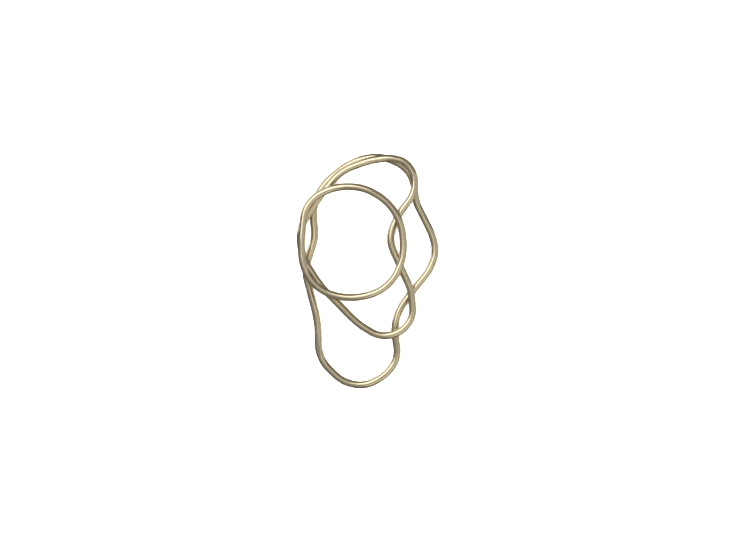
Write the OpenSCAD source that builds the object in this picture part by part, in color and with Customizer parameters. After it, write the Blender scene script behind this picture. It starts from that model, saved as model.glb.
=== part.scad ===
// Three loose closed rings bent from round brass rod. They lie flat on each other
// and none passes through another: the large ring is at the bottom, the middle ring
// lies across it, and the round ring lies on top.
// The origin is on the surface that the rings rest on, at the middle of their outline.

/* [Rod] */
// Diameter of the round brass rod
rod_d = 5.2; // [3:0.1:7]

/* [Rings] */
// Size of the bent outlines, as a share of their full size
outline_scale = 1; // [0.8:0.05:1.5]
// Air left between one ring and the ring that lies on it
ring_gap = 0.2; // [0.1:0.05:0.5]

/* [Hidden] */

// Sides of the rod's round section, and of a full turn of a bend
$fn = 96;

rod_r = rod_d / 2;
// A straight is a hair thinner than the bends and runs a little way into each of them,
// so that the two always join into one solid
straight_d = rod_d - 0.02;
lap = 0.3;
ring_step = rod_d + ring_gap;
large_z = rod_r;
middle_z = large_z + ring_step;
round_z = middle_z + ring_step;

// A ring is bent like any rod on a bench: each row is one bend, with the corner where
// the two straights either side of it would meet, and the bend's radius on the rod's
// centre line. The rows run clockwise, seen from above.
large_bends = [
    [-40.3, 54.7, 36],
    [-11.2, 78.4, 44],
    [9.5, 82, 28],
    [29, 73.5, 21],
    [33, 62, 19],
    [34.4, 49.1, 34],
    [45.7, 26.6, 40],
    [49, 14, 23],
    [44.5, 1, 32],
    [26.2, -21.7, 50],
    [18.5, -35.5, 32],
    [21.8, -62.1, 19],
    [12.7, -74.7, 29],
    [-2.6, -82.2, 21],
    [-18.2, -78.7, 26],
    [-34.8, -62.2, 26],
    [-35.3, -36, 75],
    [-44.8, 0.4, 24],
    [-37, 24, 30]
];

middle_bends = [
    [16, 80.5, 25],
    [26.5, 78, 13],
    [33.5, 69, 17],
    [33.5, 55.5, 21],
    [21, 38.5, 56],
    [14.5, 22.5, 22],
    [31, -13.5, 32],
    [32.5, -32.5, 16],
    [24, -44, 19],
    [8.5, -47, 19],
    [-7.5, -37, 60],
    [-33.5, -10.5, 70],
    [-47.5, 11.5, 38],
    [-48, 31.5, 28],
    [-31.8, 55.8, 60],
    [-18.9, 71.3, 36],
    [1.5, 78.5, 50]
];

round_bends = [
    [-3, 59.5, 34],
    [15.5, 49, 36],
    [24.5, 32, 38],
    [26, 11.5, 38],
    [16.5, -12.5, 31],
    [-11, -20.5, 44],
    [-35.5, -14, 29],
    [-46.5, 4, 32],
    [-47, 21, 70],
    [-44.8, 43.2, 20],
    [-37.5, 53, 23],
    [-22.5, 60, 40]
];

// A bend's corner and radius at the size asked for; i counts round the ring for ever
function row(bends, i) = outline_scale * bends[(i + len(bends)) % len(bends)];
function corner(bends, i) = [row(bends, i).x, row(bends, i).y];
function radius(bends, i) = row(bends, i).z;

// The straight that leaves corner i: its heading, and a step of one millimetre along it
function heading(bends, i) =
    let (leg = corner(bends, i + 1) - corner(bends, i)) atan2(leg.y, leg.x);
function along(angle) = [cos(angle), sin(angle)];

// The angle bent at corner i, between -180 and 180, and positive to the left
function turn(bends, i) =
    let (change = heading(bends, i) - heading(bends, i - 1))
    change > 180 ? change - 360 : change < -180 ? change + 360 : change;

// How far from its corner a bend starts and ends
function setback(bends, i) = radius(bends, i) * tan(abs(turn(bends, i)) / 2);

// The rod at bend i, as part of a torus
module bend(bends, i) {
    side = sign(turn(bends, i));
    arrives = heading(bends, i - 1);
    start = corner(bends, i) - setback(bends, i) * along(arrives);
    centre = start + side * radius(bends, i) * along(arrives + 90);
    first_angle = side > 0 ? arrives - 90 : heading(bends, i) + 90;
    translate(centre)
        rotate(first_angle)
            rotate_extrude(angle = abs(turn(bends, i)))
                translate([radius(bends, i), 0])
                    circle(d = rod_d);
}

// The straight rod between bend i and the next one
module straight(bends, i) {
    leg = norm(corner(bends, i + 1) - corner(bends, i));
    leaves = heading(bends, i);
    from = setback(bends, i) - lap;
    to = leg - setback(bends, i + 1) + lap;
    translate(corner(bends, i) + from * along(leaves))
        rotate([0, 90, leaves])
            cylinder(h = to - from, d = straight_d);
}

// A whole closed ring, with its rod's centre line at height z
module ring(bends, z) {
    translate([0, 0, z])
        for (i = [0 : len(bends) - 1]) {
            bend(bends, i);
            straight(bends, i);
        }
}

module large_ring() {
    color("#AEA27E") ring(large_bends, large_z);
}

module middle_ring() {
    color("#B0A480") ring(middle_bends, middle_z);
}

module round_ring() {
    color("#B6AA86") ring(round_bends, round_z);
}

large_ring();
middle_ring();
round_ring();
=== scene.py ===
import math

import bmesh
import bpy
from mathutils import Matrix, Vector


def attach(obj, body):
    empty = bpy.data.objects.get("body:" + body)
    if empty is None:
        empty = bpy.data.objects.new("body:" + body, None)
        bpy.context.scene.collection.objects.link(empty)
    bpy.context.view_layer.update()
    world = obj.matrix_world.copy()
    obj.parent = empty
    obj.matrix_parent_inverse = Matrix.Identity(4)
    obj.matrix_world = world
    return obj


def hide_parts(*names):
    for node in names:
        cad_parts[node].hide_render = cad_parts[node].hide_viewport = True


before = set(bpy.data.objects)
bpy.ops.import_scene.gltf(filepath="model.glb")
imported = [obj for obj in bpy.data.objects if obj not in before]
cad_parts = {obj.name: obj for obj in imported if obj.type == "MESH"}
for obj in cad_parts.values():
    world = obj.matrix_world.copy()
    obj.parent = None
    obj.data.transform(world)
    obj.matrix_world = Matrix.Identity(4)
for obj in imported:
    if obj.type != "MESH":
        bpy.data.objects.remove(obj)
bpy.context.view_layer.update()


# ---- Large ring ---------------------------------------------------------------------
# The lowest ring, on the table: one length of drawn brass rod, bent by hand into a long
# wavy loop, its ends silver-soldered together, filed flush and rubbed down to a satin.

# The rod is 5.2 mm. It is drawn a hair thinner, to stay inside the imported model.
rod_across = 0.00516
rod_sides = 48
step_length = 0.0015
large_ring_height = 0.0026
large_ring_bends = [
    (-40.3, 54.7, 36), (-11.2, 78.4, 44), (9.5, 82, 28), (29, 73.5, 21), (33, 62, 19),
    (34.4, 49.1, 34), (45.7, 26.6, 40), (49, 14, 23), (44.5, 1, 32), (26.2, -21.7, 50),
    (18.5, -35.5, 32), (21.8, -62.1, 19), (12.7, -74.7, 29), (-2.6, -82.2, 21),
    (-18.2, -78.7, 26), (-34.8, -62.2, 26), (-35.3, -36, 75), (-44.8, 0.4, 24), (-37, 24, 30),
]


def bent_ring(name, bends, height):
    """A closed ring of round rod. Each bend is the corner its two legs would meet at and
    the radius it is bent to, in millimetres. The legs between the bends are straight."""
    count = len(bends)
    corners = [Vector((x / 1000, y / 1000, height)) for x, y, _ in bends]
    radii = [r / 1000 for _, _, r in bends]
    ways = [(corners[(i + 1) % count] - corners[i]).normalized() for i in range(count)]
    turns = [
        math.atan2(ways[i - 1].cross(ways[i]).z, ways[i - 1].dot(ways[i]))
        for i in range(count)
    ]
    setbacks = [radii[i] * math.tan(abs(turns[i]) / 2) for i in range(count)]

    form = bmesh.new()
    around = form.verts.layers.float.new("around")
    along = form.verts.layers.float.new("along")
    start = corners[0] - ways[-1] * setbacks[0]
    bmesh.ops.create_circle(
        form, cap_ends=False, segments=rod_sides, radius=rod_across / 2,
        matrix=Matrix.Translation(start) @ ways[-1].to_track_quat("Z", "Y").to_matrix().to_4x4(),
    )
    for v in form.verts:
        spoke = v.co - start
        turned = math.atan2(spoke.dot(Vector((0, 0, 1)).cross(ways[-1])), -spoke.z)
        v[around] = (turned % math.tau) * rod_across / 2
    end = list(form.edges)
    run = 0.0
    for i in range(count):
        inward = Vector((0, 0, math.copysign(1, turns[i]))).cross(ways[i - 1])
        steps = math.ceil(abs(turns[i]) * radii[i] / step_length)
        for _ in range(steps):
            spun = bmesh.ops.spin(
                form, geom=end, cent=corners[i] - ways[i - 1] * setbacks[i] + inward * radii[i],
                axis=(0, 0, 1), dvec=(0, 0, 0), angle=turns[i] / steps, steps=1,
                use_duplicate=False, use_merge=False,
            )["geom_last"]
            run += abs(turns[i]) * radii[i] / steps
            for v in spun:
                if isinstance(v, bmesh.types.BMVert):
                    v[along] = run
            end = [e for e in spun if isinstance(e, bmesh.types.BMEdge)]
        leg = (corners[(i + 1) % count] - corners[i]).length
        leg -= setbacks[i] + setbacks[(i + 1) % count]
        drawn = bmesh.ops.extrude_edge_only(form, edges=end)["geom"]
        moved = [v for v in drawn if isinstance(v, bmesh.types.BMVert)]
        bmesh.ops.translate(form, verts=moved, vec=ways[i] * leg)
        run += leg
        for v in moved:
            v[along] = run
        end = [e for e in drawn if isinstance(e, bmesh.types.BMEdge)]

    # The rod's own coordinates: metres along it, and metres round it from its underside.
    flat = form.loops.layers.uv.new("rod")
    for face in form.faces:
        rounds = [v[around] for v in face.verts]
        wraps = max(rounds) - min(rounds) > rod_across
        for corner in face.loops:
            v = corner.vert
            lap = rod_across * math.pi if wraps and v[around] < rod_across else 0
            corner[flat].uv = (v[along], v[around] + lap)
    joint = form.verts.layers.float.new("from_joint")
    for v in form.verts:
        v[joint] = min(v[along], run - v[along])
    bmesh.ops.remove_doubles(form, verts=form.verts, dist=0.00001)
    bmesh.ops.recalc_face_normals(form, faces=form.faces)
    for face in form.faces:
        face.smooth = True
    shape = bpy.data.meshes.new(name)
    form.to_mesh(shape)
    form.free()
    ring = bpy.data.objects.new(name, shape)
    bpy.context.scene.collection.objects.link(ring)
    return ring


def linear(colour):
    """An sRGB hex colour as the linear RGBA that shaders take."""
    parts = [int(colour[i:i + 2], 16) / 255 for i in (1, 3, 5)]
    return [c / 12.92 if c <= 0.04045 else ((c + 0.055) / 1.055) ** 2.4 for c in parts] + [1]


def add_node(tree, kind, settings=None, **inputs):
    """Adds one node. Inputs are values or other nodes' outputs, by socket name or number."""
    made = tree.nodes.new(kind)
    for key, value in (settings or {}).items():
        setattr(made, key, value)
    for key, value in inputs.items():
        socket = made.inputs[int(key[1:])] if key[1:].isdigit() else made.inputs[key.replace("_", " ")]
        if isinstance(value, bpy.types.NodeSocket):
            tree.links.new(value, socket)
        else:
            socket.default_value = value
    return made


# Drawn brass rod, rubbed along its length with a fine abrasive after bending: metal all
# the way through, pale yellow, with long soft-edged highlights broken into faint streaks.
satin_brass = bpy.data.materials.new("satin_brass")
satin_brass.use_nodes = True
tree = satin_brass.node_tree
tree.nodes.clear()
place = add_node(tree, "ShaderNodeTexCoord")
rod_sheet = add_node(tree, "ShaderNodeUVMap", {"uv_map": "rod"})
spread = add_node(tree, "ShaderNodeSeparateXYZ", Vector=rod_sheet.outputs[0])
turned = add_node(
    tree, "ShaderNodeMath", {"operation": "MULTIPLY"}, _0=spread.outputs[1], _1=2 / rod_across
)
down = add_node(tree, "ShaderNodeMath", {"operation": "COSINE"}, _0=turned.outputs[0])
sideways = add_node(tree, "ShaderNodeMath", {"operation": "SINE"}, _0=turned.outputs[0])
rolled = add_node(
    tree, "ShaderNodeCombineXYZ", X=spread.outputs[0], Y=down.outputs[0], Z=sideways.outputs[0]
)

# Marks of the drawing die: shallow flutes 1.2 mm wide that run on for 30 mm or so. The
# rod's round is a circle of radius 1 in these coordinates, about 2.5 mm to the unit.
unit_length = 0.0025
flute_width = 0.0012
flute_across = unit_length / flute_width
flute_scale = add_node(
    tree, "ShaderNodeMapping", Vector=rolled.outputs[0], Scale=(1 / 0.030, flute_across, flute_across)
)
flutes = add_node(
    tree, "ShaderNodeTexNoise", Vector=flute_scale.outputs[0], Scale=1.0, Detail=2.0, Roughness=0.5
)
# Scratches of the abrasive: 8 mm long. Real ones are 0.05 mm wide, and too fine to show,
# so they are drawn 0.3 mm wide.
scratch_width = 0.0003
scratch_across = unit_length / scratch_width
scratch_scale = add_node(
    tree, "ShaderNodeMapping", Vector=rolled.outputs[0],
    Scale=(1 / 0.008, scratch_across, scratch_across),
)
scratches = add_node(
    tree, "ShaderNodeTexNoise", Vector=scratch_scale.outputs[0], Scale=1.0, Detail=3.0, Roughness=0.6
)
# Unevenness left by hand bending, which makes the highlights wander: dips 16 mm across.
dips = add_node(
    tree, "ShaderNodeTexNoise", Vector=place.outputs["Object"], Scale=1 / 0.016, Detail=0.0
)
dipped = add_node(tree, "ShaderNodeBump", Height=dips.outputs[0], Strength=1.0, Distance=0.0006)
fluted = add_node(
    tree, "ShaderNodeBump", Height=flutes.outputs[0], Strength=1.0, Distance=0.000015,
    Normal=dipped.outputs[0],
)
scratched = add_node(
    tree, "ShaderNodeBump", Height=scratches.outputs[0], Strength=1.0, Distance=0.000002,
    Normal=fluted.outputs[0],
)
dulling = add_node(
    tree, "ShaderNodeMapRange", Value=scratches.outputs[0], From_Min=0.3, From_Max=0.7,
    To_Min=0.11, To_Max=0.18,
)

# Colour: clean brass, a little warmer where fingers have toned it in patches of about
# 15 mm, darker towards the rod's underside, and paler over the soldered joint.
# The specular tint paints shade on the rims: it darkens them where bare brass would turn white.
toning = add_node(
    tree, "ShaderNodeTexNoise", Vector=place.outputs["Object"], Scale=1 / 0.015, Detail=3, Roughness=0.6
)
toned = add_node(
    tree, "ShaderNodeMix", {"data_type": "RGBA"},
    _0=toning.outputs[0], _6=linear("#F0DFB9"), _7=linear("#F8E9C5"),
)
# Darker towards the underside: the lower half of the rod is mixed up to 60% towards #CFC59E.
darker_underneath = add_node(
    tree, "ShaderNodeMapRange", Value=down.outputs[0], From_Min=0.0, From_Max=1.0,
    To_Min=0.0, To_Max=0.6,
)
darker_below = add_node(
    tree, "ShaderNodeMix", {"data_type": "RGBA"},
    _0=darker_underneath.outputs[0], _6=toned.outputs[2], _7=linear("#CFC59E"),
)
distance = add_node(tree, "ShaderNodeAttribute", {"attribute_name": "from_joint"})
solder_line = add_node(
    tree, "ShaderNodeMapRange", Value=distance.outputs["Fac"], From_Min=0.0001, From_Max=0.0003,
    To_Min=0.5, To_Max=0.0,
)
soldered = add_node(
    tree, "ShaderNodeMix", {"data_type": "RGBA"},
    _0=solder_line.outputs[0], _6=darker_below.outputs[2], _7=linear("#ECE6D6"),
)
# Specular tint: painted shade that darkens the rims.
brass = add_node(
    tree, "ShaderNodeBsdfPrincipled", Base_Color=soldered.outputs[2], Metallic=1.0,
    Roughness=dulling.outputs[0], Specular_Tint=linear("#B7B3A2"), Normal=scratched.outputs[0],
)
add_node(tree, "ShaderNodeOutputMaterial", Surface=brass.outputs[0])

large_ring = bent_ring("large_ring_rod", large_ring_bends, large_ring_height)
large_ring.data.materials.append(satin_brass)
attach(large_ring, "large")
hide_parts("large_ring")


# ---- Middle ring --------------------------------------------------------------------
# A pear-shaped loop of the same brass rod, bent and soldered in the same way. It lies
# on the large ring.

middle_ring_height = 0.0080
middle_ring_bends = [
    (16, 80.5, 25), (26.5, 78, 13), (33.5, 69, 17), (33.5, 55.5, 21), (21, 38.5, 56),
    (14.5, 22.5, 22), (31, -13.5, 32), (32.5, -32.5, 16), (24, -44, 19), (8.5, -47, 19),
    (-7.5, -37, 60), (-33.5, -10.5, 70), (-47.5, 11.5, 38), (-48, 31.5, 28),
    (-31.8, 55.8, 60), (-18.9, 71.3, 36), (1.5, 78.5, 50),
]
middle_ring = bent_ring("middle_ring_rod", middle_ring_bends, middle_ring_height)
middle_ring.data.materials.append(satin_brass)
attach(middle_ring, "middle")
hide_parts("middle_ring")


# ---- Round ring ---------------------------------------------------------------------
# The smallest loop, nearly a circle, of the same brass rod. It lies on the other two.

round_ring_height = 0.0134
round_ring_bends = [
    (-3, 59.5, 34), (15.5, 49, 36), (24.5, 32, 38), (26, 11.5, 38), (16.5, -12.5, 31),
    (-11, -20.5, 44), (-35.5, -14, 29), (-46.5, 4, 32), (-47, 21, 70), (-44.8, 43.2, 20),
    (-37.5, 53, 23), (-22.5, 60, 40),
]
round_ring = bent_ring("round_ring_rod", round_ring_bends, round_ring_height)
round_ring.data.materials.append(satin_brass)
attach(round_ring, "round")
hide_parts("round_ring")


# ---- Table top ----------------------------------------------------------------------
# A plain matt white board that the rings lie on. It isn't part of the puzzle. The rings
# don't mirror it, as it stands for any pale ground, and it is much larger than they are.

board = bmesh.new()
bmesh.ops.create_grid(board, x_segments=1, y_segments=1, size=6)
board_shape = bpy.data.meshes.new("table_top")
board.to_mesh(board_shape)
board.free()
table_top = bpy.data.objects.new("table_top", board_shape)
bpy.context.scene.collection.objects.link(table_top)
matt_white = bpy.data.materials.new("matt_white_board")
matt_white.use_nodes = True
tree = matt_white.node_tree
tree.nodes.clear()
paper = add_node(tree, "ShaderNodeBsdfDiffuse", Color=linear("#F6F5F2"))
add_node(tree, "ShaderNodeOutputMaterial", Surface=paper.outputs[0])
table_top.data.materials.append(matt_white)
table_top.visible_glossy = False
table_top.visible_shadow = False


# ---- Studio light -------------------------------------------------------------------
# Soft boxes round the table: a large one at the upper left, weaker ones at the lower
# right and overhead, in a dim grey room with a pale backdrop. Two low cards that lift
# the rods' flanks stand below the table's level and shine past it, which a real table
# wouldn't allow. The table has a light of its own that keeps it evenly white.


def soft_box(name, bearing, tilt, distance, width, height, radiance):
    """A soft box aimed at the rings. Bearing is from +X towards +Y and tilt from
    straight up, in degrees."""
    lamp = bpy.data.lights.new(name, "AREA")
    lamp.shape = "RECTANGLE"
    lamp.size, lamp.size_y = width, height
    lamp.energy = radiance * math.pi * width * height
    lit = bpy.data.objects.new(name, lamp)
    b, t = math.radians(bearing), math.radians(tilt)
    out = Vector((math.sin(t) * math.cos(b), math.sin(t) * math.sin(b), math.cos(t)))
    lit.location = out * distance
    lit.rotation_euler = out.to_track_quat("Z", "Y").to_euler()
    lit.visible_camera = False
    bpy.context.scene.collection.objects.link(lit)


soft_box("key_box", 125, 38, 0.65, 0.64, 0.52, 1.42)
soft_box("fill_box", 311, 51, 0.65, 0.58, 0.44, 0.46)
soft_box("right_card", 3, 54, 0.65, 0.46, 0.46, 0.27)
soft_box("top_box", 45, 3, 0.65, 0.16, 0.16, 0.78)
soft_box("low_key_card", 138, 108, 0.65, 0.75, 0.40, 0.92)
soft_box("low_right_card", 340, 110, 0.65, 1.20, 0.42, 0.50)

room = bpy.data.worlds.new("room")
bpy.context.scene.world = room
room.use_nodes = True
tree = room.node_tree
tree.nodes.clear()
way = add_node(tree, "ShaderNodeTexCoord")
upward = add_node(tree, "ShaderNodeSeparateXYZ", Vector=way.outputs["Generated"])
glow = add_node(
    tree, "ShaderNodeMapRange", Value=upward.outputs[2], From_Min=0.0, From_Max=1.0,
    To_Min=0.15, To_Max=0.29,
)
dim = add_node(tree, "ShaderNodeBackground", Color=linear("#FFFFFF"), Strength=glow.outputs[0])
backdrop = add_node(tree, "ShaderNodeBackground", Color=linear("#F3F3F1"), Strength=1.0)
rays = add_node(tree, "ShaderNodeLightPath")
seen = add_node(
    tree, "ShaderNodeMixShader",
    _0=rays.outputs["Is Camera Ray"], _1=dim.outputs[0], _2=backdrop.outputs[0],
)
add_node(tree, "ShaderNodeOutputWorld", Surface=seen.outputs[0])

table_lamp = bpy.data.lights.new("table_light", "SUN")
table_lamp.energy = 10.0
table_lamp.angle = math.radians(60)
table_light = bpy.data.objects.new("table_light", table_lamp)
bpy.context.scene.collection.objects.link(table_light)
only_table = bpy.data.collections.new("lit_by_table_light")
only_table.objects.link(table_top)
table_light.light_linking.receiver_collection = only_table

bpy.context.scene.view_settings.view_transform = "Standard"


# ---- Camera -------------------------------------------------------------------------
# A long lens straight above the rings, its top edge towards +Y, far enough away for a
# width of 0.52 m at the middle ring's level to fill the frame.

view_width = 0.52185
eye = bpy.data.cameras.new("camera")
eye.lens = 200
eye.sensor_width = 36
eye.clip_end = 20
camera = bpy.data.objects.new("camera", eye)
camera.location = (0, 0, middle_ring_height + view_width * eye.lens / eye.sensor_width)
bpy.context.scene.collection.objects.link(camera)
bpy.context.scene.camera = camera
